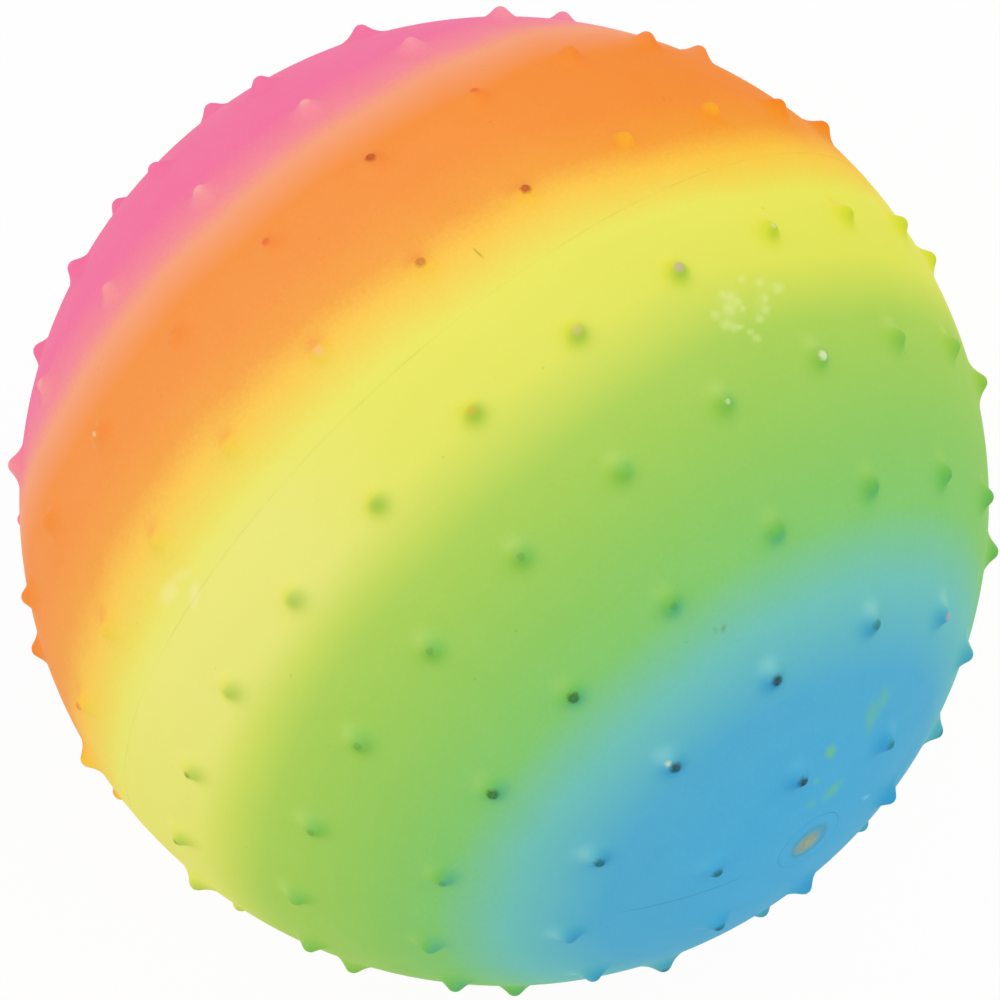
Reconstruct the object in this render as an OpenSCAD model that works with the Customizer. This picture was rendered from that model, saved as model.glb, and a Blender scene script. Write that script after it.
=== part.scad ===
// Soft inflatable sensory ball: a hollow moulded skin with rings of nubs,
// a valve seat set into the skin, and a push-in plug that closes the valve.
// The origin is the ball's centre, +X points out of the valve and +Z is up.

/* [Ball skin] */
// Diameter of the ball over its smooth skin
ball_d = 178; // [150:1:230]
// Thickness of the moulded skin
skin_wall = 1; // [0.8:0.1:2]

/* [Nubs] */
// Height of a nub above the skin
nub_h = 2.4; // [2.1:0.1:3]
// Radius of a nub's round tip
nub_tip_r = 1.6; // [1.2:0.1:1.9]
// Angle from a nub's own axis to its flank
nub_flank_angle = 45; // [41:1:50]
// Radius of the hollow fillet round a nub's foot
nub_fillet_r = 5.5; // [2.5:0.1:6]
// Nubs that fit round the ball's widest line
nubs_round = 23; // [16:1:24]
// Rings of nubs on each half of the ball
rings_per_half = 5; // [3:1:5]
// Angle from the valve to the first ring of the valve half
valve_half_first_angle = 15; // [13:0.5:18]
// Angle from the valve to the last ring of the valve half
valve_half_last_angle = 80; // [76:0.5:82]
// Angle from the valve to the first ring of the far half
far_half_first_angle = 98; // [96:0.5:102]
// Angle from the valve to the last ring of the far half
far_half_last_angle = 164; // [160:0.5:167]
// Turn about the valve axis, from straight up, at which the rings start
ring_start_turn = 61.5; // [0:0.5:360]

/* [Valve seat] */
// Diameter of the seat's face, flush in the skin
seat_rim_d = 14; // [11:0.2:18]
// Gap between the seat's face and the hole in the skin
seat_gap = 0.1; // [0.05:0.05:0.2]
// Diameter of the flange bonded to the inside of the skin
seat_flange_d = 20; // [18:0.5:26]
// Thickness of the flange at its edge
seat_flange_t = 1; // [0.8:0.1:2]
// Depth of the seat's sleeve below the ball's surface
seat_depth = 12.5; // [12:0.5:20]
// Diameter of the sleeve at its outer end, under the plug's head
seat_sleeve_d = 9; // [8:0.2:12]
// Diameter of the sleeve at its inner end
seat_sleeve_end_d = 7.6; // [6.8:0.2:8]
// Diameter of the valve's bore
valve_bore_d = 4.5; // [4:0.1:5.5]

/* [Valve plug] */
// Diameter of the plug's head
plug_head_d = 8; // [7:0.1:9]
// Thickness of the plug's head
plug_head_t = 1.4; // [1:0.1:2]
// Radius of the rounded edge of the plug's head
plug_edge_r = 0.4; // [0.2:0.1:0.6]
// Depth of the plug's head below the ball's surface
plug_sink = 0.2; // [0.1:0.1:0.6]
// Gap round the plug's head in its recess
plug_head_gap = 0.2; // [0.1:0.05:0.4]
// Gap round the plug's shank in the bore
plug_shank_gap = 0.05; // [0.03:0.01:0.1]
// Length of the plug's straight shank
plug_shank_l = 7.5; // [5:0.5:8]
// Length of the tapered lead at the end of the shank
plug_lead_l = 1.5; // [1:0.1:2]
// Diameter of the flat end of the lead
plug_lead_end_d = 2.8; // [2:0.1:3.4]

/* [Hidden] */
$fn = 64;
// The skin's large spheres are drawn with finer steps
sphere_fn = 240;
// Cuts run this far past the faces that they open
overrun = 1;

// Part of a ring's pitch by which each ring is turned from the start line
valve_half_turn_shares = [0, -0.1, 0.5, 0.6, 0.9];
far_half_turn_shares = [0.45, 0.45, 0.05, -0.2, -0.05];
// Part of the wall's thickness that a nub's root reaches down into
nub_root_share = 0.5;
// Height of the fillet's centre over the skin, as part of the fillet's radius
nub_fillet_rise_share = 0.985;

ball_r = ball_d / 2;
skin_inner_r = ball_r - skin_wall;

// A nub's profile is drawn with its axis up the page and the ball's centre at the origin
nub_root_y = ball_r - skin_wall * nub_root_share;
nub_tip_y = ball_r + nub_h - nub_tip_r;
nub_flank_out = [cos(nub_flank_angle), sin(nub_flank_angle)];
nub_flank_down = [sin(nub_flank_angle), -cos(nub_flank_angle)];
nub_shoulder = [0, nub_tip_y] + nub_tip_r * nub_flank_out;
// The fillet touches the flank and just dips into the skin
nub_fillet_high = [0, nub_tip_y] + (nub_tip_r + nub_fillet_r) * nub_flank_out;
nub_fillet_centre_r = ball_r + nub_fillet_r * nub_fillet_rise_share;
nub_flank_drop = nub_tip_y * cos(nub_flank_angle);
nub_flank_l = nub_flank_drop
    - sqrt(pow(nub_flank_drop, 2) - nub_fillet_high * nub_fillet_high + pow(nub_fillet_centre_r, 2));
nub_fillet_centre = nub_fillet_high + nub_flank_l * nub_flank_down;
nub_foot = nub_shoulder + nub_flank_l * nub_flank_down;

// Heights along the valve axis, from the ball's centre
seat_flange_z = sqrt(pow(skin_inner_r, 2) - pow(seat_flange_d / 2, 2)) - seat_flange_t;
seat_end_z = ball_r - seat_depth;
plug_top_z = ball_r - plug_sink;
plug_seat_z = plug_top_z - plug_head_t;
plug_shank_d = valve_bore_d - 2 * plug_shank_gap;

// Angle from the valve to a ring, spread evenly between its half's first and last rings
function ring_angle(first, last, ring) = first + (last - first) * ring / (rings_per_half - 1);

// Stands a piece drawn up the page on the valve axis, with turns counted from straight up
module on_valve_axis() {
    rotate([0, 90, 0])
        rotate([0, 0, 180])
            children();
}

module nub() {
    rotate_extrude()
        difference() {
            union() {
                polygon([
                    [0, nub_root_y],
                    [nub_fillet_centre.x, nub_root_y],
                    nub_fillet_centre,
                    nub_foot,
                    nub_shoulder,
                    [0, nub_shoulder.y]
                ]);
                translate([0, nub_tip_y])
                    intersection() {
                        circle(nub_tip_r);
                        square(nub_tip_r);
                    }
            }
            translate(nub_fillet_centre)
                circle(nub_fillet_r);
        }
}

// One ring of nubs, spaced as nearly as the widest line's pitch allows
module nub_ring(angle, turn_share) {
    count = round(nubs_round * sin(angle));
    pitch = 360 / count;
    for (place = [0 : count - 1])
        rotate([0, angle, ring_start_turn + (place + turn_share) * pitch])
            nub();
}

// The rings of nubs on one half of the ball
module nub_half(first, last, turn_shares) {
    for (ring = [0 : rings_per_half - 1])
        nub_ring(ring_angle(first, last, ring), turn_shares[ring]);
}

module ball_skin() {
    color("gold")
        on_valve_axis()
            difference() {
                union() {
                    sphere(ball_r, $fn = sphere_fn);
                    nub_half(valve_half_first_angle, valve_half_last_angle, valve_half_turn_shares);
                    nub_half(far_half_first_angle, far_half_last_angle, far_half_turn_shares);
                }
                sphere(skin_inner_r, $fn = sphere_fn);
                cylinder(d = seat_rim_d + 2 * seat_gap, h = ball_r + overrun);
            }
}

module valve_seat() {
    color("steelblue")
        on_valve_axis()
            difference() {
                union() {
                    intersection() {
                        sphere(ball_r, $fn = sphere_fn);
                        translate([0, 0, seat_flange_z])
                            cylinder(d = seat_rim_d, h = ball_r);
                    }
                    intersection() {
                        sphere(skin_inner_r, $fn = sphere_fn);
                        translate([0, 0, seat_flange_z])
                            cylinder(d = seat_flange_d, h = ball_r);
                    }
                    translate([0, 0, seat_end_z])
                        cylinder(d1 = seat_sleeve_end_d, d2 = seat_sleeve_d, h = plug_seat_z - seat_end_z);
                }
                cylinder(d = valve_bore_d, h = ball_r + overrun);
                translate([0, 0, plug_seat_z])
                    cylinder(d = plug_head_d + 2 * plug_head_gap, h = ball_r);
            }
}

// Half outline of the plug's head, with a rounded outer edge
module plug_head_outline() {
    head_r = plug_head_d / 2;
    square([head_r, plug_head_t - plug_edge_r]);
    square([head_r - plug_edge_r, plug_head_t]);
    translate([head_r - plug_edge_r, plug_head_t - plug_edge_r])
        circle(plug_edge_r);
}

module valve_plug() {
    color("tan")
        on_valve_axis()
            translate([0, 0, plug_seat_z]) {
                rotate_extrude()
                    plug_head_outline();
                translate([0, 0, -plug_shank_l])
                    cylinder(d = plug_shank_d, h = plug_shank_l);
                translate([0, 0, -plug_shank_l - plug_lead_l])
                    cylinder(d1 = plug_lead_end_d, d2 = plug_shank_d, h = plug_lead_l);
            }
}

ball_skin();
valve_seat();
valve_plug();
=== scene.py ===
"""A sprayed, air-filled sensory ball with nubs, a valve seat and a plug, on a pale studio floor."""

import math
import random
from collections import namedtuple

import bmesh
import bpy
from bpy.props import FloatProperty, FloatVectorProperty, IntProperty, PointerProperty
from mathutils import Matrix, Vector, kdtree


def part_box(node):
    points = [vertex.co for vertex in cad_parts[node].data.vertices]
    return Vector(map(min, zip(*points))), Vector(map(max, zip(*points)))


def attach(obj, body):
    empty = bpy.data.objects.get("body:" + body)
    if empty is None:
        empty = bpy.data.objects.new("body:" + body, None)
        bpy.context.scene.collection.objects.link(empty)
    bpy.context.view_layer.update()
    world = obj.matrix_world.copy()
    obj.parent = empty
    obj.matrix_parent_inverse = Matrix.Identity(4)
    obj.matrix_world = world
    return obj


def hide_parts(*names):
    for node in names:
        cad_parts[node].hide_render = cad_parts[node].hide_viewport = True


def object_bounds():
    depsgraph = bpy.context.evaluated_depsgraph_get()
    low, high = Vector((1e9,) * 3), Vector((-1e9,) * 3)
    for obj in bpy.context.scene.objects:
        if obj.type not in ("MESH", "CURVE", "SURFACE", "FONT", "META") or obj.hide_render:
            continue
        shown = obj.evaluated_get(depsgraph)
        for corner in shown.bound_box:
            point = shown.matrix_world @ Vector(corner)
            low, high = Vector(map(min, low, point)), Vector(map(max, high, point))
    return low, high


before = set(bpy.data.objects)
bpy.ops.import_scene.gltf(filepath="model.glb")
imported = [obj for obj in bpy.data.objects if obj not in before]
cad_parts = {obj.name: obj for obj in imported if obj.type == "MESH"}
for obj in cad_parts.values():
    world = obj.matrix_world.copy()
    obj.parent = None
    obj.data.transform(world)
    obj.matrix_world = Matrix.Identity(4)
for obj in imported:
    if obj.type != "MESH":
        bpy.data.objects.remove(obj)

bl_info = {
    "name": "Sensory Ball",
    "version": (1, 0, 0),
    "blender": (4, 5, 0),
    "location": "View3D > Sidebar > Sensory Ball",
    "description": "Models a sprayed sensory ball with nubs, a valve seat and a valve plug, and lights it",
    "category": "Mesh",
}

# Boxes of the packed pieces, which give the sizes that they already show
CAD_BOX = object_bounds()
SKIN_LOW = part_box("ball_skin")[0]
SEAT_LOW, SEAT_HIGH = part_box("valve_seat")
PLUG_LOW, PLUG_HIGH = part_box("valve_plug")

VALVE_AXIS = Vector((1, 0, 0))

# The photograph: the middle of its frame, and the ball's centre and radius in it, in pixels
PHOTO_SIDE = 1000
PHOTO_MIDDLE = 499.5
PHOTO_CENTRE = Vector((503.6, 500.6))
PHOTO_RADIUS = 484.9

# Part of a ring's pitch by which each ring of nubs is turned from the start line
VALVE_HALF_TURN_SHARES = (0, -0.1, 0.5, 0.6, 0.9)
FAR_HALF_TURN_SHARES = (0.45, 0.45, 0.05, -0.2, -0.05)
# Height of a nub's fillet centre over the skin, as part of the fillet's radius
FILLET_RISE_SHARE = 0.985

# The sprayed bands in order from the valve: a paint, and its angle from the paint axis in degrees
PAINT_BANDS = (
    ("azure", 11),
    ("blue", 25),
    ("teal", 35.5),
    ("green", 44.5),
    ("leaf", 52.5),
    ("lime", 68),
    ("lemon", 77.3),
    ("yellow", 88.5),
    ("amber", 95.8),
    ("orange", 100.3),
    ("tangerine", 107),
    ("carrot", 115),
    ("peach", 122),
    ("rose", 126),
    ("pink", 133),
)

# Finish of each nub's tip, ring by ring from the valve, with a letter for each nub in the order of
# the turns. A question mark takes one of the ring's usual finishes, and o is a tip left as sprayed.
TIP_FINISHES = (
    "ttoold",
    "tootsotoxldd",
    "gooo????oooooogff",
    "gooo???????oooowvoggg",
    "kkoo?????????ooovmpaooo",
    "ocoo??????????ooyyrbpoo",
    "ooo??????????ooocrcov",
    "poo????????oooppo",
    "oo??????oooo",
    "o????o",
)
USUAL_FINISHES = ("dts", "dtoo", "fggoo", "goowo", "mvaoo", "rbooc", "rcobo", "poovo", "poovo", "poovo")
FINISH_SEED = 7

# What each letter means: the worn tip's paint, the radius of the worn spot, how far it covers the spray,
# and which share of that cover is left in its very middle, where some spots are hollow
TipSpot = namedtuple("TipSpot", "paint radius cover middle_share")
TIP_SPOTS = {
    "d": TipSpot("dark_tip", 0.0013, 0.87, 1.0),
    "s": TipSpot("dark_tip", 0.001, 0.7, 1.0),
    "f": TipSpot("moss_tip", 0.0013, 0.92, 0.8),
    "t": TipSpot("teal_tip", 0.0012, 0.85, 1.0),
    "l": TipSpot("sea_tip", 0.0012, 0.7, 1.0),
    "g": TipSpot("moss_tip", 0.0009, 0.28, 0.7),
    "w": TipSpot("white_tip", 0.0011, 0.85, 1.0),
    "v": TipSpot("white_tip", 0.0006, 0.5, 1.0),
    "m": TipSpot("mauve_tip", 0.0012, 0.75, 0.9),
    "x": TipSpot("mauve_tip", 0.001, 0.6, 1.0),
    "k": TipSpot("umber_tip", 0.0007, 0.5, 1.0),
    "a": TipSpot("amber_tip", 0.0012, 0.45, 0.8),
    "r": TipSpot("red_tip", 0.0012, 0.95, 0.85),
    "c": TipSpot("coral_tip", 0.001, 0.75, 1.0),
    "b": TipSpot("brown_tip", 0.0012, 0.8, 0.75),
    "p": TipSpot("peach_tip", 0.0012, 0.35, 1.0),
    "y": TipSpot("gold_tip", 0.0022, 0.6, 1.0),
    "o": TipSpot("white_tip", 0.0005, 0.0, 1.0),
}

# How the spray lies on the nubs of each ring, from the valve to the far side: by how many degrees a
# nub's valve side takes the colours nearer the valve, and its far side and its side along the ring
# those further off, and how much thicker the film is on each of the three sides. The film's thickness
# is partly thicker and thinner spray and partly painted shade and painted light: a thicker film darkens
# a side as painted shade, a thinner one makes it paler as painted light
NubSprayAndShading = namedtuple("NubSprayAndShading", "near_shift far_shift ring_shift near_film far_film ring_film")
NUB_SPRAYS_AND_SHADING = (
    NubSprayAndShading(3, 3, 0, 0.25, -0.1, 0.12),
    NubSprayAndShading(4, 2, -2.5, 0.34, -0.25, 0),
    NubSprayAndShading(5, 5, 0.5, 0.42, -0.1, 0),
    NubSprayAndShading(10, 2.5, 6, 0.24, -0.16, 0.1),
    NubSprayAndShading(9, 6.5, 1.5, 0.45, 0, 0.1),
    NubSprayAndShading(1, 3, -0.5, 0.18, -0.05, 0),
    NubSprayAndShading(-0.5, 1, -0.5, 0.05, 0, -0.1),
    NubSprayAndShading(2.5, 0, 0, -0.15, 0, -0.05),
    NubSprayAndShading(0, 0, 0, -0.05, 0, -0.05),
    NubSprayAndShading(0, 0, 0, -0.05, 0, -0.05),
)

# Marks in the paint, and one painted highlight: the paint, the pixel and the half sizes in the
# photograph, the lean there in degrees, and the cover
Mark = namedtuple("Mark", "paint at half_size lean cover")
PAINT_MARKS = (
    Mark("lime_mist", (828, 750), (9, 6), -60, 0.6),
    Mark("lime_mist", (814, 779), (5, 4), -60, 0.3),
    Mark("lime_mist", (831, 788), (17, 5), -47, 0.42),
    Mark("lime_mist", (809, 802), (7, 4), -40, 0.25),
    Mark("lime_mist", (882, 695), (12, 6), -75, 0.3),
    Mark("lime_mist", (871, 710), (15, 9), -68, 0.28),
    Mark("lime_mist", (867, 722), (13, 4.5), -75, 0.25),
    Mark("sky_scuff", (864, 796), (5, 2.5), -25, 0.5),
    # A painted highlight: a white glint beside a nub's tip, in the white of the worn tips
    Mark("white_tip", (666, 761), (4, 4), 0, 0.7),
    Mark("cream", (171, 592), (10, 14), 25, 0.3),
    Mark("cream", (197, 594), (6, 17), 5, 0.28),
    Mark("cream", (184, 574), (15, 7), -30, 0.18),
    Mark("pale_scuff", (727, 309), (17, 22), 0, 0.12),
    Mark("pale_scuff", (758, 300), (9, 26), 15, 0.1),
    Mark("dull_scratch", (478, 255), (9, 1.6), 42, 0.45),
    Mark("dull_scratch", (721, 627), (5, 3), -70, 0.4),
    Mark("dull_scratch", (713, 628), (3, 3), 0, 0.25),
)
# A patch of small pale scuffs: the pixel of each and its radius there
SCUFFS = (
    (739, 280, 5), (757, 284, 5), (775, 289, 7), (720, 295, 5), (728, 298, 7), (762, 300, 5),
    (735, 303, 5), (727, 310, 8), (740, 310, 4), (763, 311, 6), (713, 316, 6), (757, 320, 5),
    (724, 326, 7), (733, 328, 6), (738, 328, 4), (748, 333, 4), (754, 339, 5),
)
SCUFF_COVER = 0.36

# The skin's mesh: how often the whole sphere is split, and how near a nub or the valve it is split again
SPHERE_SPLITS = 6
INNER_SPHERE_SPLITS = 5
NUB_SPLIT_REACHES = (0.0064, 0.0056, 0.0033)
VALVE_SPLIT_REACHES = (0.012, 0.0105)
# How far from its axis a nub is noted for the paint
NUB_ZONE = 0.0062
# The tints on a nub, of colour and of painted shade and painted light: how far their middles lie from
# its tip, towards the valve and away from it, and their spreads
NEAR_TINT_AT = 0.0004
NEAR_TINT_SPREAD = 0.0016
FAR_TINT_AT = 0.0023
FAR_TINT_SPREAD = 0.0015
RING_TINT_SPREAD = 0.0017
# Radius of the opening that is cut before the valve's lip is rolled, and how near points are merged
COLLAR_RADIUS = 0.0085
MERGE_DISTANCE = 0.00001
LOOP_MERGE_DISTANCE = 0.00025
PLANE_MERGE_DISTANCE = 0.00003
# Steps of the round shapes, the least angle of a sharp edge, the most corners that a face may keep,
# and the spacing of a material's nodes
LIP_STEPS = 5
SPIN_STEPS = 96
DOME_STEPS = 4
EDGE_SEGMENTS = 4
SHARP_ANGLE = math.radians(40)
MOST_CORNERS = 4
NODE_STEP = 180

# A noise swings about its middle, and the finer ones have more detail
NOISE_MIDDLE = 0.5
PLAIN_DETAIL = 2.0
FINE_DETAIL = 3.0
RICH_DETAIL = 4.0
# Where the orange runs further into the yellow, as an angle from the valve, a turn and a spread
ORANGE_RUN_ANGLE = math.radians(97)
ORANGE_RUN_TURN = math.radians(-55)
ORANGE_RUN_SPREAD = math.radians(45)
# Angles from the paint axis between which the bands' edges bend, and the fade on both sides of them
GREEN_BEND = (math.radians(55), math.radians(79))
ORANGE_BEND = (math.radians(90), math.radians(101))
PINK_BEND = (math.radians(114), math.radians(150))
BEND_FADE = math.radians(10)
# Waves of the orange band's edge across the ball, and the sides between which the pink band's edge bends
ORANGE_WAVES = 3.5
PINK_BEND_SIDES = (-0.7, -0.52)
# Where thin spray is pale, and where the yellow is: angles from the paint axis, sides, and fades
THIN_BAND = (math.radians(80), math.radians(110))
THIN_FADE = math.radians(19)
THIN_SIDES = (-0.5, 1.0)
PALE_BAND = (math.radians(77), math.radians(85))
PALE_FADE = math.radians(7)
PALE_SIDES = (0.45, 0.75)
PALE_SIDE_FADE = 0.45
# How far the film's thickness and roughness swing, its gloss, and the size of its fine texture
MOTTLE_REACH = 0.05
GRAIN_REACH = 0.1
ROUGHNESS_REACH = 0.12
FILM_SPECULAR = 0.03
PEEL_SIZE = 0.0016
# The marks: the size of their ragged edges and their reach in pixels of the photograph, the shares of
# their half sizes at which their cover starts to fade and ends, and their reach in depth in pixels
MARK_RAG_SIZE = 0.0011
MARK_RAG_REACH = 5.0
MARK_CORE_SHARE = 0.1
MARK_EDGE_SHARE = 1.3
MARK_DEPTH = 150.0
# The mould's parting line, where soil comes and goes, and the short seam that runs from the valve: how
# far off a seam its line fades, the covers, and where on its way out the short seam fades in and out
SEAM_FADE = (0.0001, 0.00025)
SEAM_BREAK_SIZE = 0.012
SEAM_BREAK_SHARES = (0.4, 0.62)
SEAM_COVERS = (0.02, 0.11)
VALVE_SEAM_COVER = 0.42
VALVE_SEAM_TURN = math.radians(82.3)
VALVE_SEAM_START = (0.0135, 0.01755)
VALVE_SEAM_END = (0.0351, 0.039)
# Specks of soil: the cells that they are strewn in, which of these hold one, its fade and its cover
SPECK_SPACING = 0.006
SPECK_CHOICE_SHARES = (0.7, 0.75)
SPECK_FADE_SHARES = (0.03, 0.06)
SPECK_COVER = 0.16
# Worn tips: their ragged edges, their patches, and the shares of a spot's radius at which its cover
# starts to fade, its middle ends and its edge lies
TIP_RAG_SIZE = 0.0006
TIP_RAG_REACH = 0.0007
TIP_PATCH_SIZE = 0.0005
TIP_PATCH_SHARES = (0.3, 0.6)
TIP_PATCH_COVERS = (0.8, 1.0)
TIP_CORE_SHARE = 0.4
TIP_RING_SHARE = 0.6
TIP_EDGE_SHARE = 1.2
# The valve: the depths in the plug's recess between which the painted shade sets in, and the mist on the
# seat's rim
RECESS_SHADE_START = 0.0001
RECESS_SHADE_DEPTH = 0.0003
RIM_MIST = 0.0012
RIM_MIST_COVER = 0.8
# The plug: its ragged mist, its clouds, and its bare middle, which lies a little aside
PLUG_RAG_SIZE = 0.0015
PLUG_RAG_REACH = 0.0012
PLUG_CLOUD_SIZE = 0.002
PLUG_CLOUD_SHARES = (0.3, 0.7)
PLUG_CLOUD_LEVELS = (0.88, 1.1)
PLUG_BARE_ASIDE = (0, -0.0005, -0.0002)
PLUG_BARE_RADIUS = 0.0011
PLUG_MIST_COVERS = (0.04, 1.0)

# Softboxes: how far each stands to the right of the photograph's viewer and above, as shares of its way
SOFTBOX_SHARES = {"left_softbox": (-1.1, 0.3), "right_softbox": (1.1, 0.5)}

# How many places behind the point the panel shows of a length and of a plain number
LENGTH_PLACES = 5
AMOUNT_PLACES = 3

# The screen's curve: its levels, and its straight foot and its power
SCREEN_LEVELS = 255
SCREEN_FOOT = 0.04045
SCREEN_FOOT_SLOPE = 12.92
SCREEN_LIFT = 0.055
SCREEN_POWER = 2.4


def srgb(red, green, blue):
    """Linear colour of a paint that is written as it shows on a screen, from 0 to 255."""
    linear = []
    for level in (red, green, blue):
        shown = level / SCREEN_LEVELS
        lifted = (shown + SCREEN_LIFT) / (1 + SCREEN_LIFT)
        linear.append(shown / SCREEN_FOOT_SLOPE if shown <= SCREEN_FOOT else lifted**SCREEN_POWER)
    return tuple(linear)


def length(name, description, default):
    """A size in metres."""
    return FloatProperty(
        name=name, description=description, default=default, unit="LENGTH", precision=LENGTH_PLACES
    )


def angle(name, description, degrees):
    """An angle that is written in degrees and kept in radians."""
    return FloatProperty(name=name, description=description, default=math.radians(degrees), unit="ROTATION")


def amount(name, description, default):
    """A plain number, such as a share or a strength."""
    return FloatProperty(name=name, description=description, default=default, precision=AMOUNT_PLACES)


def paint(name, description, red, green, blue):
    """A colour, written as it shows on a screen."""
    return FloatVectorProperty(
        name=name, description=description, default=srgb(red, green, blue), subtype="COLOR", min=0, max=1
    )


class SkinSizes(bpy.types.PropertyGroup):
    """Sizes of the ball's skin and its nubs."""

    ball_radius: length("Ball radius", "Radius of the smooth skin between the nubs", -SKIN_LOW.x)
    wall: length("Wall", "Thickness of the skin", 0.001)
    nub_height: length("Nub height", "Height of a nub over the skin", 0.0024)
    nub_tip_radius: length("Nub tip radius", "Radius of a nub's round tip", 0.0016)
    nub_flank_angle: angle("Nub flank angle", "Slope of a nub's flank from its axis", 45)
    nub_fillet_radius: length("Nub fillet radius", "Radius of the sweep from flank to skin", 0.0055)
    nubs_round: IntProperty(name="Nubs round", description="Nubs that fit round the middle", default=23)
    valve_half_first: angle("First ring", "Angle from the valve to the first ring of nubs", 15)
    valve_half_last: angle("Last ring of the valve half", "Angle from the valve to that ring", 80)
    far_half_first: angle("First ring of the far half", "Angle from the valve to that ring", 98)
    far_half_last: angle("Last ring", "Angle from the valve to the last ring of nubs", 164)
    ring_start_turn: angle("Ring start turn", "Turn from straight up at which the rings start", 61.5)
    hole_gap: length("Hole gap", "Gap round the valve seat's rim in the skin's hole", 0.00002)
    hole_lip: length("Hole lip", "Radius of the rounded edge of the skin's hole", 0.00012)
    seam_height: length("Seam height", "Height of the mould's parting line", 0.00004)
    seam_half_width: length("Seam half width", "Half the width of the mould's parting line", 0.00022)


class ValveSizes(bpy.types.PropertyGroup):
    """Sizes of the valve seat and its plug."""

    rim_radius: length("Rim radius", "Radius of the seat's rim in the skin", 0.007)
    flange_radius: length("Flange radius", "Radius of the flange inside the skin", SEAT_HIGH.y)
    flange_thickness: length("Flange thickness", "Thickness of the flange at its edge", 0.001)
    sleeve_radius: length("Sleeve radius", "Radius of the sleeve at the flange", 0.0045)
    sleeve_end_radius: length("Sleeve end radius", "Radius of the sleeve at its inner end", 0.0038)
    sleeve_end: length("Sleeve end", "Place of the sleeve's inner end along the valve axis", SEAT_LOW.x)
    bore_radius: length("Bore radius", "Radius of the bore that the plug closes", 0.00225)
    head_gap: length("Head gap", "Gap round the plug's head in its recess", 0.00002)
    head_radius: length("Head radius", "Radius of the plug's head", PLUG_HIGH.y)
    head_thickness: length("Head thickness", "Thickness of the plug's head", 0.0014)
    head_top: length("Head top", "Place of the head's flat face along the valve axis", PLUG_HIGH.x)
    head_bulge: length("Head bulge", "How far the air inside bulges the soft head's face", 0.00018)
    head_edge: length("Head edge", "Radius of the rounded edges of the head and its recess", 0.00003)
    shank_gap: length("Shank gap", "Gap round the plug's shank in the bore", 0.00005)
    lead_length: length("Lead length", "Length of the tapered lead", 0.0015)
    lead_end_radius: length("Lead end radius", "Radius of the lead's flat end", 0.0014)
    lead_end: length("Lead end", "Place of the lead's end along the valve axis", PLUG_LOW.x)
    rim_edge: length("Rim edge", "Radius of the rounded outer edge of the seat's rim", 0.00007)
    small_edge: length("Small edge", "Radius of the other rounded edges", 0.00015)


class PaintColours(bpy.types.PropertyGroup):
    """Colours of the sprayed bands, the worn tips, the marks, a painted highlight, the painted shade in the
    recess and the bare plug.
    """

    azure: paint("Azure", "Spray round the valve", 79, 175, 218)
    blue: paint("Blue", "Edge of the blue band", 84, 175, 211)
    teal: paint("Teal", "Blue misting into green", 114, 197, 188)
    green: paint("Green", "Edge of the green band", 134, 204, 112)
    leaf: paint("Leaf", "Middle of the green band", 147, 205, 99)
    lime: paint("Lime", "Green fading towards yellow", 174, 212, 88)
    lemon: paint("Lemon", "Edge of the yellow band", 226, 231, 85)
    yellow: paint("Yellow", "Middle of the yellow band", 237, 234, 89)
    amber: paint("Amber", "Yellow misting into orange", 255, 200, 62)
    orange: paint("Orange", "Edge of the orange band", 250, 158, 44)
    tangerine: paint("Tangerine", "Middle of the orange band", 250, 142, 43)
    carrot: paint("Carrot", "Far edge of the orange band", 250, 140, 44)
    peach: paint("Peach", "Pale mist between orange and pink", 252, 163, 122)
    rose: paint("Rose", "Edge of the pink spray", 249, 140, 153)
    pink: paint("Pink", "Spray on the far half", 248, 119, 163)
    cream: paint("Cream", "Paler film where the spray is thin", 255, 244, 190)
    dark_tip: paint("Dark tip", "Soiled bare tip", 46, 58, 50)
    moss_tip: paint("Moss tip", "Soiled tip under green", 58, 104, 48)
    teal_tip: paint("Teal tip", "Lightly soiled tip under blue", 40, 98, 98)
    sea_tip: paint("Sea tip", "Tip with green mist over blue", 50, 122, 98)
    # This white also paints a highlight beside one nub's tip
    white_tip: paint("White tip", "Tip with the spray rubbed off", 226, 236, 190)
    mauve_tip: paint("Mauve tip", "Tip with a pinkish bare face", 208, 176, 164)
    umber_tip: paint("Umber tip", "Soiled tip under yellow", 132, 96, 40)
    amber_tip: paint("Amber tip", "Tip with orange mist over yellow", 236, 178, 62)
    red_tip: paint("Red tip", "Soiled tip under orange", 192, 80, 42)
    coral_tip: paint("Coral tip", "Thin red spot on an orange tip", 238, 104, 66)
    brown_tip: paint("Brown tip", "Lightly soiled tip under orange", 198, 106, 62)
    gold_tip: paint("Gold tip", "Yellow mist on an orange tip", 255, 188, 48)
    peach_tip: paint("Peach tip", "Tip with thin pink spray", 248, 192, 166)
    lime_mist: paint("Lime mist", "Stray spots of lime spray", 122, 204, 72)
    pale_scuff: paint("Pale scuff", "Rubbed spots", 232, 244, 158)
    sky_scuff: paint("Sky scuff", "Rubbed spot in the blue", 140, 208, 240)
    dull_scratch: paint("Dull scratch", "Soiled scratches", 120, 118, 44)
    seam_soil: paint("Seam soil", "Soil along the mould's parting line", 150, 146, 40)
    hairline: paint("Hairline", "Soil along the short seam from the valve", 56, 122, 148)
    bare_plug: paint("Bare plug", "Unpainted plug", 158, 170, 140)
    plug_mist: paint("Plug mist", "Mist of the blue spray on the plug", 79, 165, 198)
    # Painted shade: the darker blue of the seat's recess
    recess_shade: paint("Recess soil", "Thin spray in the seat's recess", 70, 156, 190)


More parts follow.
